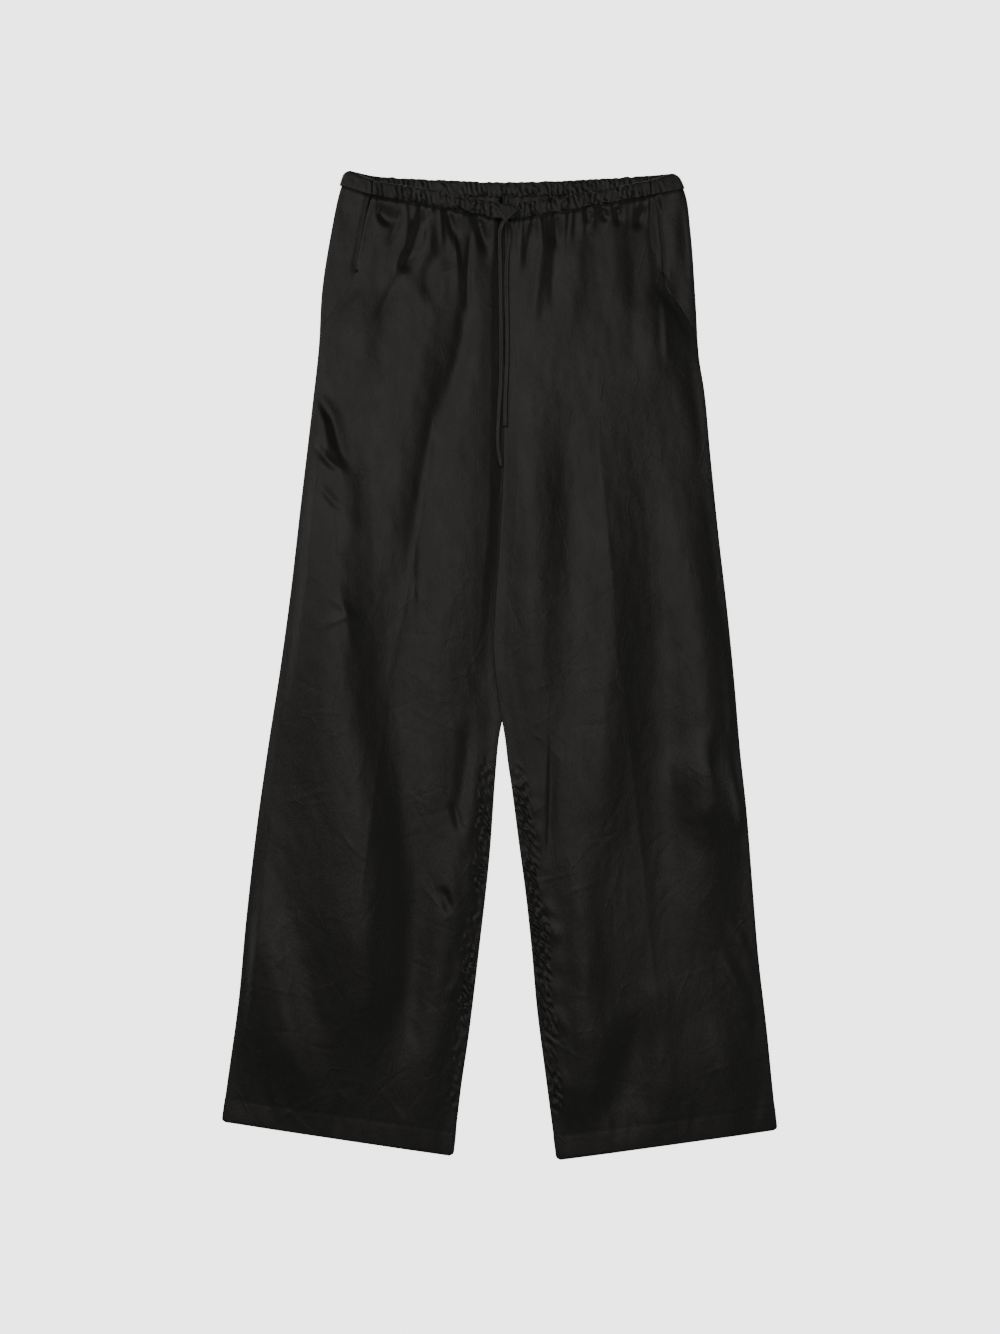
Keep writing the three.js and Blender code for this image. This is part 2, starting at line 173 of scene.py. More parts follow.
# Middle of each band across the waist
FRONT_BAND_LINE = millimetres(
    "x y",
    (-172, 535.5),
    (-141, 525.5),
    (-81, 515.5),
    (-27, 505),
    (6, 499),
    (56, 505.5),
    (105, 513.5),
    (169, 525.5),
    (200, 532.5),
)
BACK_BAND_LINE = millimetres(
    "x y",
    (-172, 535.5),
    (-135, 529.5),
    (-66, 525.5),
    (0, 523),
    (78, 525),
    (154, 529.5),
    (200, 532.5),
)

# Side edge of each leg, from the hem up
RIGHT_SIDE = millimetres(
    "y x",
    (-502, -305.5),
    (-459, -299.5),
    (-368, -287),
    (-282, -279),
    (-173, -266.5),
    (-82, -253.5),
    (-5, -241.5),
    (79, -230),
    (170, -219.5),
    (289, -205.5),
    (348, -199),
    (414, -195),
    (480, -184.5),
    (518, -176.5),
    (543, -168),
)
LEFT_SIDE = millimetres(
    "y x",
    (-511, 305.5),
    (-465, 300.5),
    (-400, 294),
    (-322, 285),
    (-250, 279),
    (-156, 271.5),
    (-96, 265),
    (-19, 258.5),
    (57, 251),
    (144, 241),
    (232, 232),
    (301, 225.5),
    (339, 219.5),
    (396, 216),
    (479, 210),
    (519, 204),
    (541, 193),
)

# Inner edge of each leg, from the hem up
CROTCH_SEAM = ((-61, 2.8), (-47, 0.6), (12, -6), (138, 0.6), (212, 4), (485, 6), (530, 6))
RIGHT_INNER = millimetres(
    "y x",
    (-541, -51),
    (-463, -42),
    (-407, -33.8),
    (-308, -21.8),
    (-210, -10.9),
    (-118, -4.2),
    (-80, -0.6),
    (-68, 1.5),
    *CROTCH_SEAM,
)
LEFT_INNER = millimetres(
    "y x",
    (-541, 62.5),
    (-454, 51),
    (-378, 41.2),
    (-312, 35.3),
    (-250, 28.6),
    (-198, 21.6),
    (-135, 13.4),
    (-104, 8.8),
    (-80, 6),
    (-68, 4),
    *CROTCH_SEAM,
)

# Folds of each front leg: ridges, and troughs where the rise is below zero, between two places.
# Bow bends the line to the viewer's right in its middle; west and east are the widths of its two flanks.
FOLD_COLUMNS = "name fromX fromY toX toY bow west east rise"
RIGHT_FOLDS = millimetres(
    FOLD_COLUMNS,
    ("drag below the band", -84, 500, -105, 432, 2, 6, 8, -3.4),
    ("end of the drag", -100, 456, -107, 434, 0, 7, 7, -1.6),
    ("ridge before the drag", -98, 500, -122, 420, 3, 10, 8, 2.6),
    ("ridge after the drag", -70, 500, -86, 436, 4, 9, 10, 2),
    ("hollow by the pocket", -138, 506, -118, 484, -1, 5, 9, -2.4),
    ("branch of the hollow", -112, 500, -122, 464, 2, 3.5, 4, -1.5),
    ("soft bulb", -79, 448, -77, 402, 0, 9, 10, -1.5),
    ("ridge by the soft bulb", -59, 448, -62, 398, 0, 10, 14, 1.7),
    ("line after the ridge", -31, 476, -35, 390, -2, 3, 4, -1.7),
    ("branch below the drag", -112, 424, -134, 380, 0, 6, 7, -1.2),
    ("light ridge", -77, 492, -78, 450, 0, 5, 5, 1),
    ("narrow ditch", -60, 505, -49, 462, 2, 4, 4.5, -1.8),
    ("short ridge", -52, 480, -43, 398, 2, 8, 2.6, 2),
    ("wedge by the seam", -28, 500, -14, 454, 1, 6, 5, -2.6),
    ("long fold, upper", -36, 420, -62, 280, 6, 9, 14, -2.4),
    ("long fold, lower", -54, 350, -98, 110, -3, 9, 18, -2.2),
    ("ridge east of the long fold", -24, 440, -28, 20, 4, 26, 26, 2.2),
    ("ridge west of the long fold", -70, 400, -122, 100, -12, 28, 18, 2.2),
    ("hip ditch", -206, 300, -176, 246, 5, 5, 8, -2.6),
    ("hip ditch, lower", -184, 262, -166, 216, 0, 6, 8, -2.2),
    ("hip ridge", -200, 280, -190, 228, 3, 7, 7, 2),
    ("hip crinkle", -206, 250, -176, 214, -3, 4, 5, 1.5),
    ("below the hip", -172, 232, -158, 130, -3, 12, 16, 1.8),
    ("knee star, first", -190, 78, -156, 44, 2, 5, 5, 0.5),
    ("knee star, second", -178, 92, -162, 16, 2, 5, 6, 0.7),
    ("knee star, third", -196, 40, -158, 56, 2, 4, 5, 0.6),
    ("crest by the dark band", -206, 250, -150, -440, 14, 64, 38, 9),
    ("hollow along the dark band", -146, 60, -96, -430, 14, 30, 26, -2.4),
    ("foot of the dark band", -142, -80, -146, -420, 8, 50, 28, 4.6),
    ("end of the dark band", -152, -250, -150, -424, 0, 46, 24, 2.2),
    ("end of the dark band, hollow", -100, -262, -104, -424, 0, 24, 22, -2),
    ("crinkle below the hip", -196, 196, -176, 172, 0, 4, 5, 1),
    ("crest by the lower hollow", -270, -230, -206, -500, -4, 40, 22, 5),
    ("outer leg hollow", -228, 160, -262, -160, 4, 10, 16, -2),
    ("side of the outer leg", -262, -80, -282, -420, 0, 18, 22, 1.2),
    ("knee ridge", -70, 60, -84, -230, 3, 22, 18, 1.8),
    ("inner leg ridge", -28, -120, -80, -520, -8, 20, 18, 2.6),
    ("notch", -64, -244, -54, -272, 1, 7, 5, -1.8),
    ("hollow below the crotch", -34, -60, -46, -170, 2, 8, 8, -1.6),
    ("second notch", -52, -150, -44, -182, 1, 5, 5, -1.4),
)
LEFT_FOLDS = millimetres(
    FOLD_COLUMNS,
    ("flute by the seam", 46, 500, 34, 370, 3, 8, 8, 2),
    ("ditch by the seam", 38, 498, 29, 432, 0, 5, 6, -1.6),
    ("wedge", 60, 500, 63, 458, 0, 5, 5, -2.6),
    ("line below the wedge", 63, 480, 57, 392, 0, 5, 6, -0.9),
    ("flute in the middle", 84, 500, 74, 360, 5, 13, 13, 1.3),
    ("hollows below the band", 96, 503, 100, 486, 0, 5, 5, -2),
    ("second hollow", 112, 504, 118, 488, 0, 5, 4, -2.2),
    ("third hollow", 128, 505, 130, 484, 1, 4, 5, -1.8),
    ("hollow by the pocket", 158, 505, 151, 480, 0, 5, 6, -2.2),
    ("flute by the pocket", 132, 500, 132, 400, -4, 14, 14, 0.8),
    ("line by the pocket", 150, 470, 145, 330, 0, 8, 10, -0.6),
    ("streak below the tack", 181, 410, 184, 336, 0, 4, 5, 1.2),
    ("hip fold", 190, 330, 216, 220, 4, 18, 18, 1.3),
    ("hip trough", 208, 340, 230, 200, 3, 10, 10, -1),
    ("thigh swell", 36, 320, 42, -80, -6, 22, 24, 3),
    ("thigh trough", 74, 270, 82, 60, 2, 22, 20, -1.8),
    ("knee ridge", 114, 190, 106, -220, 8, 22, 26, 3.6),
    ("outer leg hollow", 162, 240, 176, -340, 12, 28, 22, -3.6),
    ("outer leg swell", 214, 180, 236, -250, 6, 22, 24, 3.2),
    ("narrow line", 56, -76, 53, -212, 1, 3, 8, -1.7),
    ("side wedge", 218, -84, 262, -178, -4, 44, 22, 5.6),
    ("side wedge, hollow", 248, -76, 282, -158, -4, 18, 16, -2.6),
    ("side crease", 246, -320, 276, -392, 2, 7, 7, 1.8),
    ("side crease, upper", 256, -286, 286, -350, 2, 6, 6, 1.4),
    ("calf swell", 84, -200, 92, -420, 6, 22, 20, 3),
    ("crest by the dark pool", 122, -376, 84, -500, 0, 44, 21, 3.6),
    ("dark pool", 166, -376, 126, -502, 0, 22, 36, -3.2),
    ("calf ridge", 172, -340, 178, -520, 0, 18, 20, 2.6),
    ("hem swell", 240, -400, 262, -520, 2, 18, 20, 2),
)

# Pressed creases: sharp low ridges
CREASE_COLUMNS = "name fromX fromY toX toY bow west east rise"
RIGHT_CREASES = millimetres(
    CREASE_COLUMNS,
    ("pressed crease, upper", -69, 292, -120, -5, 5, 7, 5, 0.6),
    ("pressed crease, lower", -120, -5, -193, -500, 4, 8, 5, 0.55),
    ("second press line", -93, 140, -94, 52, 0, 4, 3, 0.5),
    ("seam of the tucked leg", -9, 206, -12, 108, 0, 3, 3, 0.6),
)
LEFT_CREASES = millimetres(
    CREASE_COLUMNS,
    ("pressed crease, upper", 107, 262, 129, 25, 1, 6, 8, 0.6),
    ("pressed crease, lower", 129, 25, 181, -498, 4, 6, 8, 0.6),
)
FADE_OUT = 0.16  # a fold dies away from this share of its length inside each end to this share outside
FADE_IN = 0.36
HEM_CALM = 0.9
HEM_FOLDS = 0.75

# Cords, in metres: from where each end leaves the casing to its free end
LONG_ROUTE = (
    (0.0205, 0.5025, 0.0073),
    (0.0170, 0.4994, 0.0074),
    (0.0130, 0.4960, 0.0073),
    (0.0092, 0.4923, 0.0072),
    (0.0055, 0.4885, 0.0070),
    (0.0024, 0.4832, 0.0064),
    (0.0005, 0.4770, 0.0056),
    (0.0002, 0.4660, 0.0045),
    (0.0010, 0.4400, 0.0041),
    (0.0014, 0.4050, 0.0041),
    (0.0016, 0.3700, 0.0041),
    (0.0016, 0.3400, 0.0041),
    (0.0012, 0.3100, 0.0041),
    (-0.0008, 0.2750, 0.0041),
    (-0.0016, 0.2420, 0.0041),
    (0.0022, 0.2180, 0.0041),
)
SHORT_ROUTE = (
    (-0.0040, 0.5025, 0.0073),
    (-0.0010, 0.4988, 0.0084),
    (0.0020, 0.4950, 0.0092),
    (0.0046, 0.4918, 0.0097),
    (0.0070, 0.4885, 0.0098),
    (0.0092, 0.4845, 0.0086),
    (0.0106, 0.4800, 0.0070),
    (0.0110, 0.4735, 0.0058),
    (0.0108, 0.4670, 0.0050),
    (0.0090, 0.4540, 0.0043),
    (0.0079, 0.4410, 0.0041),
    (0.0079, 0.4000, 0.0041),
    (0.0086, 0.3700, 0.0041),
    (0.0082, 0.3310, 0.0041),
    (0.0064, 0.2900, 0.0041),
    (0.0062, 0.2620, 0.0041),
)


# Numbers and lines

def ease(value, low, high):
    share = np.clip((value - low) / (high - low), 0, 1)
    return share * share * (3 - 2 * share)


def mix(low, high, share):
    return low + (high - low) * share


def soft_floor(height, floor, softness=0.5 * MM):
    """Heights that come down smoothly to a floor instead of below it."""
    above = (height - floor) / softness
    return floor + softness * np.logaddexp(0, above)


def bell(offset, width):
    return np.exp(-((offset / width) ** 2))


def line_through(rows, known, wanted):
    """A smooth line through the rows of a table, as a function of the known column."""
    at = np.array([row[known] for row in rows])
    value = np.array([row[wanted] for row in rows])
    secant = np.diff(value) / np.diff(at)
    slope = np.concatenate([secant[:1], (secant[1:] + secant[:-1]) / 2, secant[-1:]])

    def evaluate(place):
        place = np.clip(place, at[0], at[-1])
        row = np.clip(np.searchsorted(at, place, side="right") - 1, 0, len(at) - 2)
        span = at[row + 1] - at[row]
        t = (place - at[row]) / span
        start = (1 + 2 * t) * (1 - t) ** 2 * value[row] + t * (1 - t) ** 2 * span * slope[row]
        end = t * t * (3 - 2 * t) * value[row + 1] - t * t * (1 - t) * span * slope[row + 1]
        return start + end

    return evaluate


def unevenness(x, y, size_x, size_y, seed, waves=16):
    """Smooth noise, mostly between -1 and 1, whose swells are about size_x by size_y."""
    random = np.random.default_rng(seed)
    total = np.zeros(np.broadcast(x, y).shape)
    for _ in range(waves):
        turn = random.uniform(0, 2 * np.pi)
        pace = random.uniform(0.6, 1.5) * np.pi
        phase = random.uniform(0, 2 * np.pi)
        total += np.sin(pace * (np.cos(turn) * x / size_x + np.sin(turn) * y / size_y) + phase)
    return total / np.sqrt(waves)


def noise_along(place, size, seed):
    """Smooth noise along one line."""
    return unevenness(place, 0 * place, size, 1, seed)


front_band_y = line_through(FRONT_BAND_LINE, "x", "y")
back_band_y = line_through(BACK_BAND_LINE, "x", "y")


class Leg:
    """The edges, folds and seams of one leg."""

    def __init__(self, name, sign, side_rows, inner_rows, hem_drop, mouth_rise, folds, creases):
        self.name = name
        self.sign = sign
        self.hem_drop = hem_drop
        self.mouth_rise = mouth_rise
        self.folds = folds
        self.creases = creases
        self.side_x = line_through(side_rows, "y", "x")
        self.inner_x = line_through(inner_rows, "y", "x")
        self.hem_side_y = side_rows[0]["y"]
        self.hem_inner_y = inner_rows[0]["y"]
        self.band_seam_x = self.side_x(BAND_MIDDLE_Y) - sign * POCKET_INSET
        self.back_seam_x = self.side_x(BAND_MIDDLE_Y) - sign * SIDE_BAND_BACK

    def inner_edge(self, y):
        return self.inner_x(y) + self.sign * SEAM / 2

    def place(self, band_y, inset, across, down, margin, tucked_up=SEWN):
        """The place at a share from the inner edge to the side, and a share from the waist to the hem."""
        def seam_y(x):
            return band_y(x) - BAND_WIDTH / 2 - margin + tucked_up

        above_hem = (1 - down) * LEG_LENGTH
        corner_turn = np.clip(1 - above_hem / HEM_CORNER, 0, 1)
        corner = HEM_CORNER * (1 - np.sqrt(1 - corner_turn ** 2))
        top_side_y = seam_y(self.side_x(BAND_FOOT_Y))
        top_inner_y = seam_y(self.inner_edge(BAND_FOOT_Y))
        side_y = mix(top_side_y, self.hem_side_y + margin, down)
        inner_y = mix(top_inner_y, self.hem_inner_y + margin, down)
        inner_y = inner_y + self.hem_drop * ease(down, 1 - HEM_FIT, 1)
        side = self.side_x(side_y) - self.sign * (inset(top_side_y - side_y) + corner + margin)
        inner = self.inner_x(inner_y) + self.sign * (corner + margin - SEWN)
        x = mix(inner, side, across)
        straight_top = mix(top_inner_y, top_side_y, across)
        y = mix(inner_y, side_y, across)
        return x, y + (1 - ease(down, 0, TOP_FIT)) * (seam_y(x) - straight_top)


LEGS = (
    Leg("left", 1, LEFT_SIDE, LEFT_INNER, LEFT_HEM_DROP, LEFT_MOUTH_RISE, LEFT_FOLDS, LEFT_CREASES),
    Leg(
        "right", -1, RIGHT_SIDE, RIGHT_INNER, RIGHT_HEM_DROP, RIGHT_MOUTH_RISE, RIGHT_FOLDS, RIGHT_CREASES
    ),
)
LEFT, RIGHT = LEGS


# Camera

def make_camera():
    data = bpy.data.cameras.new("camera")
    data.lens = CAMERA_LENS
    data.sensor_width = CAMERA_SENSOR
    camera = bpy.data.objects.new("camera", data)
    camera.location = (*CAMERA_PLACE, PICTURE_HEIGHT * CAMERA_LENS / CAMERA_SENSOR)
    bpy.context.scene.collection.objects.link(camera)
    bpy.context.scene.camera = camera


make_camera()


# Meshes

def mesh_object(name, points, faces, material):
    mesh = bpy.data.meshes.new(name)
    mesh.from_pydata(points.tolist(), [], faces)
    mesh.polygons.foreach_set("use_smooth", np.ones(len(mesh.polygons), bool))
    mesh.materials.append(material)
    item = bpy.data.objects.new(name, mesh)
    bpy.context.scene.collection.objects.link(item)
    return item


def quads(index):
    """Faces over a grid of point numbers, facing up where rows run down the picture and columns right."""
    corners = (index[:-1, :-1], index[1:, :-1], index[1:, 1:], index[:-1, 1:])
    return np.stack(corners, axis=-1).reshape(-1, 4)


def sheet_object(name, grid, radius, behind, turned, material, turned_in=TURNED_IN):
    """A sheet of cloth over a grid of points, its edges rolled over and turned in behind it.

    behind is -1 where the back of the cloth is below, and turned says that the columns run to the left.
    """
    rows, columns = grid.shape[:2]
    index = np.arange(rows * columns).reshape(rows, columns)
    loop = np.concatenate([index[0], index[1:, -1], index[-1, -2::-1], index[-2:0:-1, 0]])
    edge = grid.reshape(-1, 3)[loop]
    roll = radius.reshape(-1)[loop]
    tangent = np.roll(edge, -1, axis=0) - np.roll(edge, 1, axis=0)
    out = np.stack([-tangent[:, 1], tangent[:, 0]], axis=1)
    out /= np.linalg.norm(out, axis=1, keepdims=True) * (-1 if turned else 1)
    rings = []
    for angle in np.linspace(0, np.pi, ROLL_STEPS + 1)[1:]:
        ring = edge.copy()
        ring[:, :2] += out * (roll * np.sin(angle))[:, None]
        ring[:, 2] += behind * roll * (1 - np.cos(angle))
        rings.append(ring)
    for distance in turned_in:
        ring = edge.copy()
        ring[:, :2] -= out * distance
        ring[:, 2] += behind * 2 * roll
        rings.append(ring)
    points = np.concatenate([grid.reshape(-1, 3), *rings])
    ring_index = rows * columns + np.arange(len(rings) * len(loop)).reshape(len(rings), -1)
    ring_index = np.concatenate([loop[None], ring_index])
    ring_index = np.concatenate([ring_index, ring_index[:, :1]], axis=1)
    faces = np.concatenate([quads(index), quads(ring_index)[:, ::-1]])
    if turned != (behind > 0):
        faces = faces[:, ::-1]
    return mesh_object(name, points, faces.tolist(), material)


def tube_object(name, rings, material):
    """A closed tube through rings of points, each end closed by its own ring."""
    count, sides = rings.shape[:2]
    index = np.arange(count * sides).reshape(count, sides)
    wrapped = np.concatenate([index, index[:, :1]], axis=1)
    faces = quads(wrapped).tolist()
    faces.append(index[0].tolist())
    faces.append(index[-1, ::-1].tolist())
    return mesh_object(name, rings.reshape(-1, 3), faces, material)


# Satin: each row of bumps lies on top of the one before, and the last takes its scale from the cloth
SATIN_BUMPS = table(
    "name kind scale stretch detail depth strength",
    ("drape", "FBM", 34, (1, 0.55, 1), 5, 1.4 * MM, 0.35),
    ("crinkle", "RIDGED_MULTIFRACTAL", 26, (1, 0.7, 1), 8, 0.8 * MM, 0.3),
    ("ripple", "FBM", 110, (1, 0.7, 1), 4, 0.5 * MM, 0.4),
    ("fine creases", "CREASES", 17, (1.7, 0.8, 1), None, 0.25 * MM, 0.4),
    ("mottle", "FBM", 300, (1, 0.8, 1), 3, 0.4 * MM, 0.3),
    ("floats", "FBM", None, (3.2, 0.8, 1), 2, 0.1 * MM, 0.7),
)
TONE_NOISE = (16, (1, 0.6, 1), 4)
GLOSS_NOISE = (55, (1, 0.5, 1), 5)
PATCH_NOISE = (24, (1, 1, 1), 3)
PATCH_SPAN = (0.5, 0.62)
CREASE_TURN = 0.6
CREASE_LINE = 0.035


def satin(name, deep, pale, smooth, rough, grain):
    """Black satin: uneven tone and gloss, the long floats of its weave, and fine crinkles."""
    material = bpy.data.materials.new(name)
    material.use_nodes = True
    nodes = material.node_tree.nodes
    links = material.node_tree.links
    shader = nodes["Principled BSDF"]
    place = nodes.new("ShaderNodeTexCoord")

    def noise(scale, stretch, detail, kind="FBM"):
        mapping = nodes.new("ShaderNodeMapping")
        mapping.inputs["Scale"].default_value = stretch
        texture = nodes.new("ShaderNodeTexNoise")
        texture.noise_type = kind
        texture.inputs["Scale"].default_value = scale
        texture.inputs["Detail"].default_value = detail
        links.new(place.outputs["Object"], mapping.inputs["Vector"])
        links.new(mapping.outputs["Vector"], texture.inputs["Vector"])
        return texture.outputs["Fac"]

    def bump(height, distance, strength, before=None):
        node = nodes.new("ShaderNodeBump")
        node.inputs["Distance"].default_value = distance
        node.inputs["Strength"].default_value = strength
        links.new(height, node.inputs["Height"])
        if before is not None:
            links.new(before, node.inputs["Normal"])
        return node.outputs["Normal"]

    def creases(scale, stretch):
        """A net of straight fine creases, in patches."""
        mapping = nodes.new("ShaderNodeMapping")
        mapping.inputs["Scale"].default_value = stretch
        mapping.inputs["Rotation"].default_value = (0, 0, CREASE_TURN)
        cells = nodes.new("ShaderNodeTexVoronoi")
        cells.feature = "DISTANCE_TO_EDGE"
        cells.inputs["Scale"].default_value = scale
        line = nodes.new("ShaderNodeMapRange")
        line.inputs["From Max"].default_value = CREASE_LINE
        line.inputs["To Min"].default_value = 1
        line.inputs["To Max"].default_value = 0
        patch = nodes.new("ShaderNodeMapRange")
        patch.inputs["From Min"].default_value = PATCH_SPAN[0]
        patch.inputs["From Max"].default_value = PATCH_SPAN[1]
        product = nodes.new("ShaderNodeMath")
        product.operation = "MULTIPLY"
        links.new(place.outputs["Object"], mapping.inputs["Vector"])
        links.new(mapping.outputs["Vector"], cells.inputs["Vector"])
        links.new(cells.outputs["Distance"], line.inputs["Value"])
        links.new(noise(*PATCH_NOISE), patch.inputs["Value"])
        links.new(line.outputs["Result"], product.inputs[0])
        links.new(patch.outputs["Result"], product.inputs[1])
        return product.outputs["Value"]

    tone = nodes.new("ShaderNodeMix")
    tone.data_type = "RGBA"
    tone.inputs["A"].default_value = (*deep, 1)
    tone.inputs["B"].default_value = (*pale, 1)
    links.new(noise(*TONE_NOISE), tone.inputs["Factor"])
    links.new(tone.outputs["Result"], shader.inputs["Base Color"])
    gloss = nodes.new("ShaderNodeMapRange")
    gloss.inputs["To Min"].default_value = smooth
    gloss.inputs["To Max"].default_value = rough
    links.new(noise(*GLOSS_NOISE), gloss.inputs["Value"])
    links.new(gloss.outputs["Result"], shader.inputs["Roughness"])
    surface = None
    for row in SATIN_BUMPS:
        if row["kind"] == "CREASES":
            height = creases(row["scale"], row["stretch"])
        else:
            height = noise(row["scale"] or grain, row["stretch"], row["detail"], row["kind"])
        surface = bump(height, row["depth"], row["strength"], surface)
    links.new(surface, shader.inputs["Normal"])
    return material


SATIN = satin(
    "black satin",
    deep=(0.0085, 0.0082, 0.0078),
    pale=(0.0125, 0.0121, 0.0114),
    smooth=0.34,
    rough=0.46,
    grain=1000,
)
THREAD = satin(
    "black thread",
    deep=(0.012, 0.0118, 0.0112),
    pale=(0.018, 0.0176, 0.0168),
    smooth=0.5,
    rough=0.6,
    grain=3000,
)


# Thread

STITCH = 2.6 * MM
STITCH_PITCH = 3.4 * MM
STITCH_RADIUS = 0.24 * MM
STITCH_STEPS = 6
STITCH_SIDES = 8


def thread(name, owner, places, directions, length=STITCH):
    """A row of stitches lying on the cloth of their owner, one at each place, as one mesh."""
    along = np.linspace(0, np.pi, STITCH_STEPS + 1)
    around = np.linspace(0, 2 * np.pi, STITCH_SIDES + 1)
    index = np.arange(len(along) * len(around)).reshape(len(along), len(around))
    points = []
    faces = []
    for place, direction in zip(places, directions):
        direction = np.asarray(direction) / np.linalg.norm(direction)
        side = np.cross((0, 0, 1), direction)
        up = np.cross(direction, side)
        ahead = np.cos(along)[:, None, None] * direction * length / 2
        girth = np.sqrt(np.sin(along))[:, None, None] * STITCH_RADIUS
        ring = np.cos(around)[:, None] * side + np.sin(around)[:, None] * up
        faces.append(quads(index) + len(points) * index.size)
        points.append((place + ahead + girth * ring[None]).reshape(-1, 3))
    item = mesh_object(name, np.concatenate(points), np.concatenate(faces).tolist(), THREAD)
    item.parent = owner


def stitch_row(name, owner, line):
    """Stitches along a line of points that lie close together."""
    reach = np.concatenate([[0], np.cumsum(np.linalg.norm(np.diff(line, axis=0), axis=1))])
    at = np.arange(STITCH_PITCH, reach[-1] - STITCH_PITCH / 2, STITCH_PITCH)
    places = np.stack([np.interp(at, reach, line[:, axis]) for axis in range(3)], axis=1)
    ahead = np.stack([np.interp(at + STITCH / 2, reach, line[:, axis]) for axis in range(3)], axis=1)
    thread(name, owner, places, ahead - places)


# Drawstring

def smooth_path(route, step):
    """Points close together on a smooth line through the route's points."""
    route = np.array(route)
    reach = np.concatenate([[0], np.cumsum(np.linalg.norm(np.diff(route, axis=0), axis=1))])
    rows = [dict(s=s, x=p[0], y=p[1], z=p[2]) for s, p in zip(reach, route)]
    places = np.linspace(0, reach[-1], int(reach[-1] / step) + 1)
    return np.stack([line_through(rows, "s", axis)(places) for axis in "xyz"], axis=1)


def drawstring(name, node, route, seed):
    path = smooth_path(route, STRING_STEP)
    tangent = np.gradient(path, axis=0)
    tangent /= np.linalg.norm(tangent, axis=1, keepdims=True)
    flat = np.stack([-tangent[:, 1], tangent[:, 0], np.zeros(len(path))], axis=1)
    flat /= np.linalg.norm(flat, axis=1, keepdims=True)
    up = np.cross(tangent, flat)
    up *= np.sign(up[:, 2:])
    reach = np.arange(len(path)) * STRING_STEP
    twist = STRING_TILT + STRING_TWIST * noise_along(reach, STRING_TWIST_SIZE, seed)
    pinch = 1 - STRING_PINCH * np.abs(noise_along(reach, STRING_PINCH_SIZE, seed + 1))
    from_end = np.minimum(reach, reach[-1] - reach)
    closing = np.sqrt(np.clip(from_end / STRING_CLOSING, 0.06, 1))
    angle = np.linspace(0, 2 * np.pi, STRING_SIDES, endpoint=False)
    wide = np.sign(np.cos(angle)) * np.abs(np.cos(angle)) ** STRING_SQUARENESS * STRING_WIDTH / 2
    thick = np.sign(np.sin(angle)) * np.abs(np.sin(angle)) ** STRING_SQUARENESS * STRING_THICK / 2
    seam = 1 - STRING_SEAM * bell(wide - STRING_SEAM_ASIDE, STRING_SEAM_WIDTH)
    a = wide[None] * pinch[:, None]
    b = (thick * seam)[None] * closing[:, None]
    turned_a = a * np.cos(twist)[:, None] - b * np.sin(twist)[:, None]
    turned_b = a * np.sin(twist)[:, None] * STRING_TWIST_RISE + b * np.cos(twist)[:, None]
    rings = path[:, None] + turned_a[..., None] * flat[:, None] + turned_b[..., None] * up[:, None]
    item = tube_object(name, rings, SATIN)
    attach(item, "root")
    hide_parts(node)
    end = path[-1 - int(STRING_STITCH / STRING_STEP)]
    top = up[-1] * STRING_THICK / 2
    places = [end + flat[-1] * aside * MM + top for aside in STRING_STITCHES_ASIDE]
    thread(name + "_stitch", item, places, [flat[-1]] * len(places), STRING_STITCH_LENGTH)


drawstring("cord_long", "drawstring_long", LONG_ROUTE, seed=3)
drawstring("cord_short", "drawstring_short", SHORT_ROUTE, seed=5)


# Form of the front legs

def ridge(row, x, y, sharp=False):
    """Height of one fold: a ridge along a bowed line, fading out at both ends."""
    chord_x = row["toX"] - row["fromX"]
    chord_y = row["toY"] - row["fromY"]
    length = np.hypot(chord_x, chord_y)
    away_x = x - row["fromX"]
    away_y = y - row["fromY"]
    along = (away_x * chord_x + away_y * chord_y) / length ** 2
    aside = (away_y * chord_x - away_x * chord_y) / length - 4 * row["bow"] * along * (1 - along)
    width = np.where(aside < 0, row["west"], row["east"])
    ends = ease(along, -FADE_OUT, FADE_IN) * (1 - ease(along, 1 - FADE_IN, 1 + FADE_OUT))
    profile = np.exp(-np.abs(aside) / width) if sharp else bell(aside, width)
    return row["rise"] * ends * profile


def pocket_inset(below):
    return POCKET_INSET * (1 - ease(below, POCKET_OPEN, POCKET_FOOT))


def no_inset(below):
    return 0 * below


def waist_lift(below):
    return WAIST_RISE * (1 - ease(below, 0, WAIST_REACH))


def pocket_lift(leg, x, y, below):
    from_side = leg.sign * (leg.side_x(y) - x)
    clear = POCKET_INSET + POCKET_TUCK + FACING_CLEAR
    across = 1 - ease(from_side, clear, clear + MOUTH_REACH)
    lift = MOUTH_LIFT * across * (1 - ease(below, POCKET_FOOT, POCKET_FOOT + 2 * MOUTH_REACH))
    sewn = ease(below, *SEWN_SPAN)
    from_mouth = from_side - pocket_inset(below)
    return lift * (1 - SEWN_FLAT * sewn * (1 - ease(from_mouth, 0, MOUTH_REACH)))


# Flutes that run down from the gathers, uneven in place, width, height and length
FLUTE_PITCH = 5.2 * MM
FLUTE_LEAN = 0.12
FLUTE_WIDTHS = (1.5, 3.4)  # in millimetres, as the two below
FLUTE_RISES = (0.3, 1.5)
FLUTE_LENGTHS = (14, 72)
FLUTE_SPREAD = 1.2
FLUTE_START = 0.05


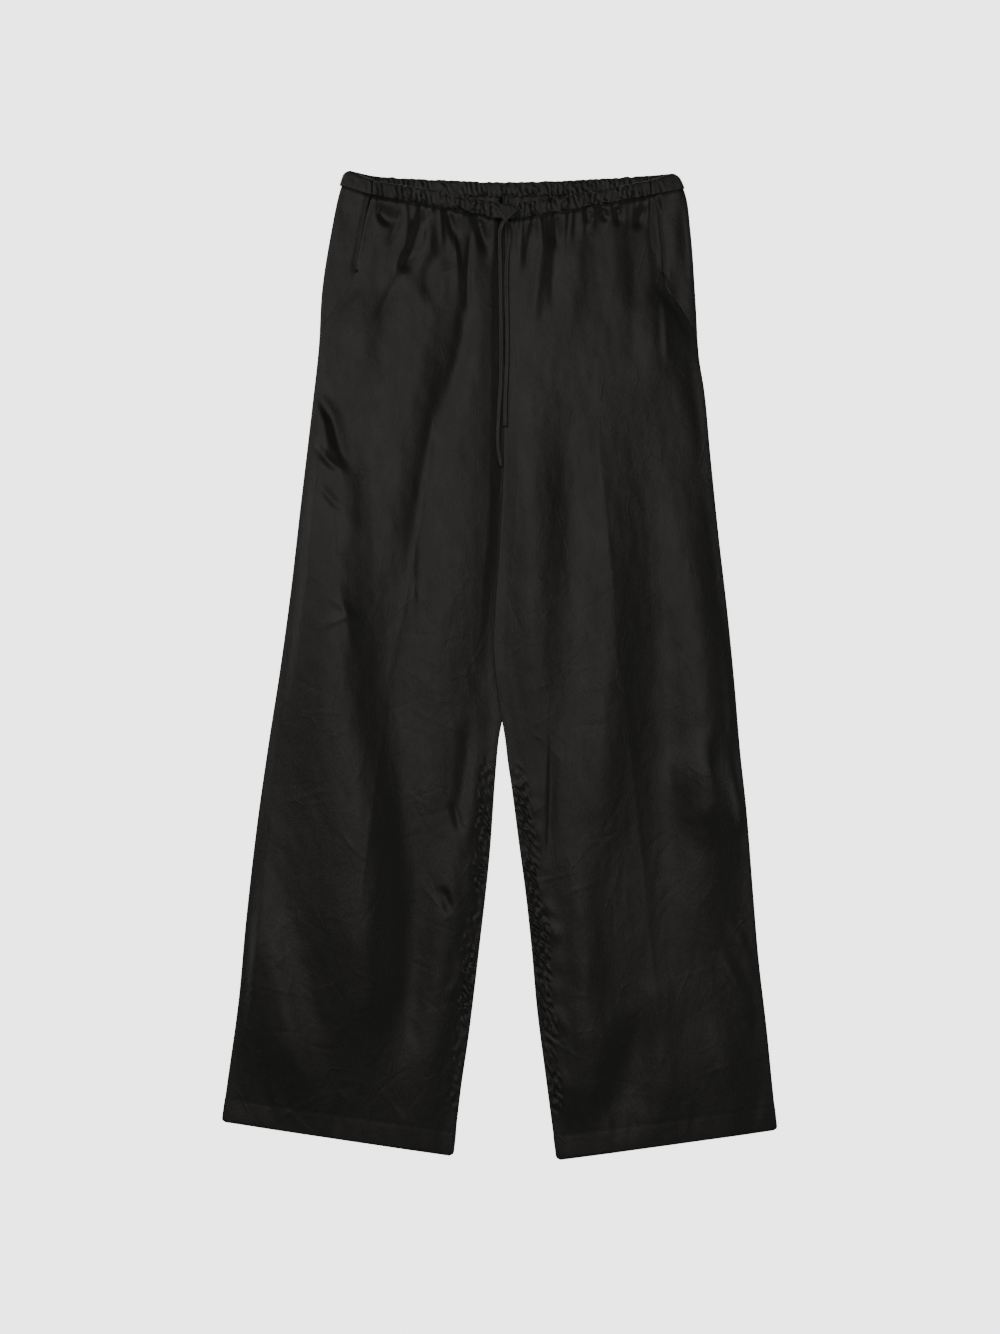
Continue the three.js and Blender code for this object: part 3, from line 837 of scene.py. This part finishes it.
def flutes(x, below, from_x, to_x, seed):
    random = np.random.default_rng(seed)
    total = 0 * x
    count = int(abs(to_x - from_x) / FLUTE_PITCH)
    for number in range(count):
        middle = mix(from_x, to_x, (number + random.uniform(0.15, 0.85)) / count)
        width = random.uniform(*FLUTE_WIDTHS) * MM
        rise = random.uniform(*FLUTE_RISES) * MM
        reach = random.uniform(*FLUTE_LENGTHS) * MM
        lean = random.uniform(-FLUTE_LEAN, FLUTE_LEAN)
        spread = 1 + FLUTE_SPREAD * np.clip(below / reach, 0, 1)
        offset = x - middle - lean * below
        total += rise * bell(offset, width * spread) * (1 - ease(below, FLUTE_START * reach, reach))
    return total


def small_creases(x, y, seed, box, count, length, width, rise):
    """Short faint creases scattered over a box of (side x, inner x, low y, high y)."""
    random = np.random.default_rng(seed)
    total = 0 * x
    for _ in range(count):
        start_x = mix(box[0], box[1], random.random())
        start_y = mix(box[2], box[3], random.random())
        turn = random.uniform(0, np.pi)
        reach = random.uniform(0.4, 1) * length
        row = {
            "fromX": start_x,
            "fromY": start_y,
            "toX": start_x + reach * np.cos(turn),
            "toY": start_y - reach * np.sin(turn),
            "bow": random.uniform(-0.08, 0.08) * reach,
            "west": random.uniform(0.6, 1) * width,
            "east": random.uniform(0.8, 1.6) * width,
            "rise": random.choice((-1, 1)) * random.uniform(0.4, 1) * rise,
        }
        total += ridge(row, x, y)
    return total


# Puckers along an inner leg seam: small lumps by the seam, and a soft ridge beside them
PUCKER_SIZE = 4.3 * MM
PUCKER_SLANT = 0.4
PUCKER_LENGTH = 1.3
PUCKER_WAVES = 24
PUCKER_RISE = 1.05 * MM
PUCKER_START = 2 * MM
PUCKER_REACH = 16 * MM
PUCKER_FADE = 4 * MM
PUCKER_WANDER = 5 * MM
PUCKER_WANDER_SIZE = 40 * MM
PUCKER_WANDER_SPAN = (-1, 1.6)
PUCKER_MEAN = 0.75
PUCKER_SWELL = 0.6
PUCKER_SWELL_SIZE = 45 * MM
PUCKER_SWELL_SPAN = (0.25, 1.3)
PUCKER_TOP = -90 * MM
PUCKER_TOP_FADE = 60 * MM
PUCKER_FOOT = -500 * MM
PUCKER_FOOT_FADE = 40 * MM
PUCKER_RIDGE = 0.9 * MM
PUCKER_RIDGE_BEYOND = 6 * MM
PUCKER_RIDGE_WIDTH = 7 * MM
PUCKER_RIDGE_SIZE = 16 * MM


def seam_puckers(x, y, from_inner, seed):
    length = PUCKER_LENGTH * PUCKER_SIZE
    lumps = unevenness(x + PUCKER_SLANT * y, y, PUCKER_SIZE, length, seed, PUCKER_WAVES)
    strength = PUCKER_MEAN + PUCKER_SWELL * noise_along(y, PUCKER_SWELL_SIZE, seed + 1)
    strength = np.clip(strength, *PUCKER_SWELL_SPAN)
    wander = np.clip(noise_along(y, PUCKER_WANDER_SIZE, seed + 2), *PUCKER_WANDER_SPAN)
    wander = PUCKER_WANDER * wander
    above_foot = ease(y, PUCKER_FOOT, PUCKER_FOOT + PUCKER_FOOT_FADE)
    along = above_foot * (1 - ease(y, PUCKER_TOP - PUCKER_TOP_FADE, PUCKER_TOP))
    ridge_strength = 0.7 + 0.3 * unevenness(y, x, PUCKER_RIDGE_SIZE, 1, seed)
    from_ridge = from_inner - PUCKER_REACH - PUCKER_RIDGE_BEYOND - wander
    beside = bell(from_ridge, PUCKER_RIDGE_WIDTH) * ridge_strength
    past_lumps = ease(from_inner, PUCKER_REACH - PUCKER_FADE, PUCKER_REACH + PUCKER_FADE + wander)
    fade = (1 - past_lumps) * ease(from_inner, 0, PUCKER_START)
    return along * strength * (PUCKER_RISE * lumps * fade + PUCKER_RIDGE * beside)


# Small forms of the front legs
FRONT_SEEDS = {"left": 11, "right": 29}
LEAST_LIFT = 0.2 * MM
LOFT_REACH = 60 * MM
GATHERED_FROM_EDGE = 5 * MM
SWELL_RISE = 0.6 * MM
SWELL_SIZE = (52 * MM, 130 * MM)
RIPPLE_RISE = 0.07 * MM
RIPPLE_SIZE = (9 * MM, 20 * MM)
SCRATCHES = dict(count=160, length=70 * MM, width=1.7 * MM, rise=0.17 * MM)
SCRATCHED_FROM = -200 * MM
SCRATCHED_SPAN = (-480 * MM, 110 * MM)
STITCHED_IN = 0.12 * MM
STITCHED_WIDTH = 2.6 * MM
HEM_RIPPLE_RISE = 0.3 * MM
HEM_RIPPLE_SIZE = 12 * MM
HEM_RIPPLE_REACH = 16 * MM
WAIST_DITCH = 1.3 * MM
DITCH_REACH = 3.4 * MM
EDGE_FALL = 0.3 * MM
EDGE_FALL_REACH = 4 * MM
CENTRE_DIP = 0.7 * MM
CENTRE_DIP_REACH = 8 * MM
CENTRE_DIP_START = (60 * MM, 160 * MM)
MOUTH_EDGE = 0.5 * MM
MOUTH_EDGE_WIDTH = 2.6 * MM
MOUTH_EDGE_FADE = 36 * MM


def front_height(leg, x, y, across, down):
    """Height of the top of a front leg."""
    below = front_band_y(x) - BAND_WIDTH / 2 - SEAM - y
    above_hem = (1 - down) * LEG_LENGTH
    span = np.abs(leg.side_x(y) - leg.inner_edge(y)) - pocket_inset(below)
    from_inner = across * span
    from_side = (1 - across) * span
    near = np.minimum(from_inner, from_side)
    calm = ease(near, 0, FLAT_EDGE)
    close = ease(near, 0, GATHERED_FROM_EDGE)
    to_hem = mix(1, HEM_FOLDS, ease(down, HEM_CALM, 1))
    seed = FRONT_SEEDS[leg.name]
    gather_from = leg.inner_edge(BAND_FOOT_Y)
    folded = sum(ridge(row, x, y) for row in leg.folds)
    pressed = sum(ridge(row, x, y, sharp=True) for row in leg.creases)
    loft = LOFT * ease(near, 0, LOFT_REACH)
    swell = SWELL_RISE * unevenness(x, y, *SWELL_SIZE, seed)
    ripple = RIPPLE_RISE * unevenness(x, y, *RIPPLE_SIZE, seed + 1)
    scratched = (leg.side_x(SCRATCHED_FROM), leg.inner_edge(0), *SCRATCHED_SPAN)
    scratches = small_creases(x, y, seed + 2, scratched, **SCRATCHES)
    raised = calm * (to_hem * (folded + loft + swell) + pressed + ripple + scratches)
    gathered = close * flutes(x, below, gather_from, leg.band_seam_x, seed + 3)
    hem = HEM_STEP * (1 - ease(above_hem, *HEM_STEP_SPAN))
    stitch_line = -STITCHED_IN * bell(above_hem - HEM_DEPTH, STITCHED_WIDTH)
    by_hem_seam = bell(above_hem - HEM_DEPTH, HEM_RIPPLE_REACH)
    hem_ripple = HEM_RIPPLE_RISE * noise_along(x, HEM_RIPPLE_SIZE, seed + 4) * by_hem_seam
    ditch = -WAIST_DITCH * (1 - ease(below, 0, DITCH_REACH))
    edge_fall = -EDGE_FALL * (1 - ease(near, 0, EDGE_FALL_REACH))
    by_centre = 1 - ease(from_inner, 0, CENTRE_DIP_REACH)
    centre_dip = -CENTRE_DIP * by_centre * ease(y, *CENTRE_DIP_START)
    open_part = 1 - ease(below, POCKET_OPEN - MOUTH_EDGE_FADE, POCKET_OPEN)
    mouth = leg.mouth_rise * bell(from_side - MOUTH_EDGE, MOUTH_EDGE_WIDTH) * open_part
    height = FRONT_LEVEL + waist_lift(below) + pocket_lift(leg, x, y, below) + raised + gathered
    height += hem + stitch_line + hem_ripple + ditch + edge_fall + centre_dip + mouth
    height += seam_puckers(x, y, from_inner, seed + 5)
    return soft_floor(height, FRONT_FLOOR + LEAST_LIFT)


# Grids of points, stitches and tacks
INNER_CROWDING = 0.45  # how much closer together the columns are by the inner seam
HEM_LINE_POINTS = 400
TACK_BELOW = 3 * MM
TACK_IN = 1.5 * MM
TACK_STITCHES = 9
TACK_PITCH = 0.42 * MM
TACK_WIDTH = 4.5 * MM


def shares(columns, rows):
    return np.meshgrid(np.linspace(0, 1, columns + 1), np.linspace(0, 1, rows + 1))


def roll_radius(down):
    above_hem = (1 - down) * LEG_LENGTH
    return mix(HEM_ROLL, EDGE_ROLL, ease(above_hem, *HEM_ROLL_SPAN))


def hem_stitches(name, owner, leg, place, height, sunk=0):
    """Stitches across a leg along the seam of its hem, sunk into the cloth."""
    across = np.linspace(0, 1, HEM_LINE_POINTS)
    down = np.full(HEM_LINE_POINTS, 1 - HEM_DEPTH / LEG_LENGTH)
    x, y = place(leg, across, down)
    z = height(leg, x, y, across, down) - sunk
    stitch_row(name, owner, np.stack([x, y, z], axis=1))


def front_place(leg, across, down):
    return leg.place(front_band_y, pocket_inset, across, down, EDGE_ROLL)


def pocket_tack(leg, item, x, y, z):
    """The stitches that close the foot of a pocket mouth, on the leg's grid of points."""
    top_side_y = front_band_y(leg.side_x(BAND_FOOT_Y)) - BAND_WIDTH / 2
    tack_y = top_side_y - POCKET_OPEN - TACK_BELOW + np.arange(TACK_STITCHES) * TACK_PITCH
    tack_x = leg.side_x(tack_y) - leg.sign * (POCKET_INSET + TACK_IN)
    away = (x[..., None] - tack_x) ** 2 + (y[..., None] - tack_y) ** 2
    nearest = away.reshape(-1, TACK_STITCHES).argmin(axis=0)
    tack = np.stack([tack_x, tack_y, z.reshape(-1)[nearest]], axis=1)
    thread("tack_" + leg.name, item, tack, [(1, 0, 0)] * TACK_STITCHES, TACK_WIDTH)


def front_leg(leg):
    across, down = shares(LEG_COLUMNS, LEG_ROWS)
    across = mix(across, across ** 2, INNER_CROWDING)
    x, y = front_place(leg, across, down)
    z = front_height(leg, x, y, across, down)
    name = "satin_front_" + leg.name
    item = sheet_object(name, np.stack([x, y, z], axis=-1), roll_radius(down), -1, leg.sign < 0, SATIN)
    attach(item, "root")
    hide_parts("leg_front_" + leg.name)
    hem_stitches("stitches_front_" + leg.name, item, leg, front_place, front_height)
    pocket_tack(leg, item, x, y, z)


# Back legs, flat on the surface with shallow dents
BACK_SEEDS = {"left": 41, "right": 59}
DENT_RISE = 0.5 * MM
DENT_SIZE = (24 * MM, 80 * MM)
BACK_LINES = dict(count=40, length=90 * MM, width=4 * MM, rise=0.5 * MM)
BACK_LINES_SPAN = (-480 * MM, 460 * MM)
BACK_FLUTES = 0.3
BACK_STITCHED_OUT = 0.3 * MM
BACK_STITCHED_WIDTH = 1.4 * MM
BACK_RISE = 0.9 * MM
BACK_STITCHES_SUNK = 0.1 * MM


def back_height(leg, x, y, across, down):
    below = back_band_y(x) - BAND_WIDTH / 2 - SEAM - y
    above_hem = (1 - down) * LEG_LENGTH
    span = np.abs(leg.side_x(y) - leg.inner_edge(y))
    near = np.minimum(across, 1 - across) * span
    seed = BACK_SEEDS[leg.name]
    dents = np.clip(unevenness(x, y, *DENT_SIZE, seed), 0, 1) ** 2
    lined = (leg.side_x(0), leg.inner_edge(0), *BACK_LINES_SPAN)
    lines = small_creases(x, y, seed + 1, lined, **BACK_LINES)
    gathered = flutes(x, below, leg.inner_edge(BAND_FOOT_Y), leg.back_seam_x, seed + 2)
    calm = ease(near, 0, FLAT_EDGE)
    stitch_line = BACK_STITCHED_OUT * bell(above_hem - HEM_DEPTH, BACK_STITCHED_WIDTH)
    dented = calm * (DENT_RISE * dents + np.abs(lines)) + BACK_FLUTES * gathered
    return BACK_LEVEL + np.clip(dented + stitch_line, 0, BACK_RISE)


def back_place(leg, across, down):
    return leg.place(back_band_y, no_inset, across, down, EDGE_ROLL, TUCKED_UP)


def back_leg(leg):
    across, down = shares(BACK_COLUMNS, BACK_ROWS)
    x, y = back_place(leg, across, down)
    z = back_height(leg, x, y, across, down)
    name = "satin_back_" + leg.name
    item = sheet_object(name, np.stack([x, y, z], axis=-1), roll_radius(down), 1, leg.sign < 0, SATIN)
    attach(item, "root")
    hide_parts("leg_back_" + leg.name)
    hem_stitches("stitches_back_" + leg.name, item, leg, back_place, back_height, BACK_STITCHES_SUNK)


# Pocket facings
FACING_SEED = 71
FACING_LEAST_LIFT = 0.3 * MM
CHANNEL = 1.3
CHANNEL_SPAN = (1 * MM, 8 * MM)
CHANNEL_FADE = (POCKET_OPEN - 10 * MM, POCKET_OPEN + 6 * MM)
PULL_RISE = 0.3 * MM
PULL_SIZE = (14 * MM, 40 * MM)
PULL_FROM_EDGE = 8 * MM
FACING_DITCH = 0.4 * MM
TUCK_SPAN = (-3 * MM, 1 * MM)


def pocket_facing(leg):
    inward, down = shares(FACING_COLUMNS, FACING_ROWS)
    length = POCKET_FOOT - POCKET_TUCK
    below = down * length
    reach = pocket_inset(below) + POCKET_TUCK - 2 * EDGE_ROLL

    def seam_y(x):
        return front_band_y(x) - BAND_WIDTH / 2 - EDGE_ROLL + SEWN

    side_top_y = seam_y(leg.side_x(BAND_FOOT_Y))
    y = mix(side_top_y, seam_y(leg.band_seam_x), inward * (1 - down)) - below
    x = leg.side_x(y) - leg.sign * (inward * reach + EDGE_ROLL)
    y = y + (1 - ease(down, 0, TOP_FIT)) * (seam_y(x) - y - below)
    from_mouth = pocket_inset(below) - inward * reach
    open_part = 1 - ease(below, *CHANNEL_FADE)
    channel = -CHANNEL * leg.mouth_rise * (1 - ease(from_mouth, *CHANNEL_SPAN)) * open_part
    pull = PULL_RISE * unevenness(x, y, *PULL_SIZE, FACING_SEED + leg.sign)
    calm = ease(np.minimum(inward, 1 - inward) * reach, 0, PULL_FROM_EDGE)
    fall = -EDGE_FALL * (1 - ease(inward * reach, 0, EDGE_FALL_REACH))
    ditch = -FACING_DITCH * (1 - ease(below, 0, DITCH_REACH))
    tucked = -TUCK_DROP * (1 - ease(from_mouth, *TUCK_SPAN))
    z = FRONT_LEVEL + waist_lift(below) + channel + calm * pull + fall + ditch + tucked
    z = np.maximum(z, FRONT_FLOOR + FACING_LEAST_LIFT)
    grid = np.stack([x, y, z], axis=-1)
    radius = np.full(x.shape, EDGE_ROLL)
    item = sheet_object("satin_facing_" + leg.name, grid, radius, -1, leg.sign > 0, SATIN, TURNED_IN[:1])
    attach(item, "root")
    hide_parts("pocket_facing_" + leg.name)


# Waistband casings
SIDE_SEED = 83
FRONT_BAND_SEED = 91
BACK_BAND_SEED = 97


def casing(name, node, path, normal, gathers, seed, lean=None, span=None):
    """A casing swept along a path, its width along y and its thickness along the normals.

    lean gives how far each point moves sideways for its place across the casing, and span its lowest and
    highest level.
    """
    reach = np.concatenate([[0], np.cumsum(np.linalg.norm(np.diff(path, axis=0), axis=1))])
    angle = np.linspace(0, 2 * np.pi, BAND_SIDES, endpoint=False)
    wide = np.sign(np.cos(angle)) * np.abs(np.cos(angle)) ** BAND_SQUARENESS
    thick = np.sign(np.sin(angle)) * np.abs(np.sin(angle)) ** BAND_SQUARENESS
    s, a = np.meshgrid(reach, wide * BAND_WIDTH / 2, indexing="ij")
    gathers = np.broadcast_to(gathers, len(path))[:, None]
    drift = PLEAT_DRIFT * unevenness(s, a, *PLEAT_DRIFT_SIZE, seed)
    phase = np.pi * s / GATHER_PITCH + drift + np.where(thick >= 0, 0, PLEAT_BEHIND)[None]
    swell = PLEAT_SWELL + PLEAT_SWELL * unevenness(s, a, *PLEAT_SWELL_SIZE, seed + 1)
    swell = np.clip(swell, *PLEAT_SWELL_SPAN)
    fine = FINE_PLEATS * unevenness(s + FINE_PLEAT_SLANT * a, a, *FINE_PLEAT_SIZE, seed + 2)
    wave = (np.abs(np.sin(phase)) ** PLEAT_POWER - PLEAT_MIDDLE + fine) * swell * gathers
    ends = np.minimum(reach, reach[-1] - reach)
    closing = np.sqrt(np.clip(ends / CASING_CLOSING, 0.05, 1))[:, None]
    b = (thick * BAND_CLOTH / 2)[None] * closing + np.sign(thick)[None] * GATHER_DEPTH * wave * closing
    across = a * (1 + PLEAT_WIDENING * gathers * noise_along(s, PLEAT_WIDENING_SIZE, seed + 3))
    rings = path[:, None] + b[..., None] * normal[:, None]
    rings[..., 1] += across
    if span is not None:
        rings[..., 2] = np.clip(rings[..., 2], *span)
    if lean is not None:
        rings[..., 0] += lean(across)
    item = tube_object(name, rings, SATIN)
    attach(item, "root")
    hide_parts(node)


def gathered_casing(name, node, band_y, from_x, to_x, level, span, seed, smooth_x=None):
    """A gathered casing; smooth_x is the middle of the flat patch where the drawstring comes out."""
    x = np.linspace(from_x, to_x, int((to_x - from_x) / BAND_STEP))
    path = np.stack([x, band_y(x), np.full(x.shape, level)], axis=1)
    normal = np.tile([0.0, 0.0, 1.0], (len(x), 1))
    gathers = 1 if smooth_x is None else 1 - EXIT_CALM * bell(x - smooth_x, EXIT_PATCH)
    casing(name, node, path, normal, gathers, seed, span=span)


def side_casing(leg):
    """The flat length of casing over one hip, from the front seam round the side to the back seam."""
    radius = (FRONT_BAND_LEVEL - BAND_CLOTH / 2) / 2
    fold_x = leg.side_x(BAND_MIDDLE_Y) - leg.sign * (radius + BAND_CLOTH / 2)
    front_x = np.linspace(leg.band_seam_x, fold_x, SIDE_FRONT_POINTS)
    back_x = np.linspace(fold_x, leg.back_seam_x, SIDE_BACK_POINTS)
    turn = np.linspace(0, np.pi, SIDE_TURN_POINTS + 2)[1:-1]
    middle = (FRONT_BAND_LEVEL + BACK_BAND_LEVEL) / 2
    height = (FRONT_BAND_LEVEL - BACK_BAND_LEVEL) / 2
    x = np.concatenate([front_x, fold_x + leg.sign * height * np.sin(turn), back_x])

    def along_casing(front, side, back):
        return np.concatenate([np.full(SIDE_FRONT_POINTS, front), side, np.full(SIDE_BACK_POINTS, back)])

    z = along_casing(FRONT_BAND_LEVEL, middle + height * np.cos(turn), BACK_BAND_LEVEL)
    share = along_casing(0.0, np.linspace(0, 1, SIDE_TURN_POINTS), 1.0)
    y = mix(front_band_y(x), back_band_y(x), share)
    path = np.stack([x, y, z], axis=1)
    normal = np.zeros(path.shape)
    normal[:, 0] = leg.sign * along_casing(0.0, np.sin(turn), 0.0)
    normal[:, 2] = along_casing(1.0, np.cos(turn), -1.0)
    to_fold = np.clip((x - leg.band_seam_x) / (fold_x - leg.band_seam_x), 0, 1)[:, None]

    def lean(across):
        rounding = np.clip((across - BAND_WIDTH / 2 + BAND_CORNER) / BAND_CORNER, 0, 0.98)
        corner = BAND_CORNER * (1 - np.sqrt(1 - rounding ** 2))
        side_lean = leg.side_x(BAND_MIDDLE_Y + across) - leg.side_x(BAND_MIDDLE_Y)
        return to_fold * (side_lean - leg.sign * corner)

    name = "casing_side_" + leg.name
    node = "waistband_side_" + leg.name
    span = (REST_LEVEL, ANY_LEVEL)
    casing(name, node, path, normal, SIDE_GATHERS, SIDE_SEED + leg.sign, lean, span)


for leg in LEGS:
    back_leg(leg)
    pocket_facing(leg)
    front_leg(leg)
    side_casing(leg)
gathered_casing(
    "casing_front",
    "waistband_front",
    front_band_y,
    from_x=RIGHT.band_seam_x - 2 * SEWN,
    to_x=LEFT.band_seam_x + 2 * SEWN,
    level=FRONT_BAND_LEVEL,
    span=(FRONT_BAND_FOOT, ANY_LEVEL),
    seed=FRONT_BAND_SEED,
    smooth_x=EXITS_X,
)
gathered_casing(
    "casing_back",
    "waistband_back",
    back_band_y,
    from_x=RIGHT.back_seam_x - 2 * SEWN,
    to_x=LEFT.back_seam_x + 2 * SEWN,
    level=BACK_BAND_LEVEL,
    span=(REST_LEVEL, BACK_BAND_TOP),
    seed=BACK_BAND_SEED,
)


# Floor and light
FLOOR_HALF = 30.0
FLOOR_GLOW = 3.2
FLOOR_TONE = 0.9
FLOOR_ROUGHNESS = 0.9
WORLD_GLOW = 0.08
LIGHT_COLOUR = (1.0, 0.968, 0.92)
LIGHTS = table(
    "name place width height power",
    ("key", (-0.62, 0.55, 4.5), 1.3, 2.8, 23.8),
    ("left fill", (-2.8, 1.2, 2.6), 1.5, 1.5, 14),
    ("right fill", (2.8, -0.4, 2.6), 2.4, 2.4, 4),
    ("low front", (0, -4.4, 1.6), 3.4, 1.2, 6),
    ("low back", (0, 4.4, 1.6), 3.4, 1.2, 6),
    ("low left", (-4.4, 0, 1.6), 3.4, 1.2, 6),
    ("far front", (1.8, -3.2, 3.2), 2, 1.4, 4),
    ("low right", (4.4, 0, 1.6), 3.4, 1.2, 6),
)


def make_floor():
    mesh = bpy.data.meshes.new("floor")
    corners = [(x * FLOOR_HALF, y * FLOOR_HALF, 0) for x, y in ((-1, -1), (1, -1), (1, 1), (-1, 1))]
    mesh.from_pydata(corners, [], [(0, 1, 2, 3)])
    floor = bpy.data.objects.new("floor", mesh)
    bpy.context.scene.collection.objects.link(floor)
    material = bpy.data.materials.new("pale floor")
    material.use_nodes = True
    shader = material.node_tree.nodes["Principled BSDF"]
    shader.inputs["Base Color"].default_value = (FLOOR_TONE, FLOOR_TONE, FLOOR_TONE, 1)
    shader.inputs["Roughness"].default_value = FLOOR_ROUGHNESS
    shader.inputs["Emission Color"].default_value = (1, 1, 1, 1)
    shader.inputs["Emission Strength"].default_value = FLOOR_GLOW
    mesh.materials.append(material)


def make_lights():
    for row in LIGHTS:
        data = bpy.data.lights.new(row["name"], "AREA")
        data.shape = "RECTANGLE"
        data.size = row["width"]
        data.size_y = row["height"]
        data.energy = row["power"]
        data.color = LIGHT_COLOUR
        light = bpy.data.objects.new(row["name"], data)
        light.location = row["place"]
        light.rotation_euler = (-light.location).to_track_quat("-Z", "Y").to_euler()
        bpy.context.scene.collection.objects.link(light)
    world = bpy.data.worlds.new("studio")
    world.use_nodes = True
    world.node_tree.nodes["Background"].inputs["Color"].default_value = (1, 1, 1, 1)
    world.node_tree.nodes["Background"].inputs["Strength"].default_value = WORLD_GLOW
    bpy.context.scene.world = world


make_floor()
make_lights()
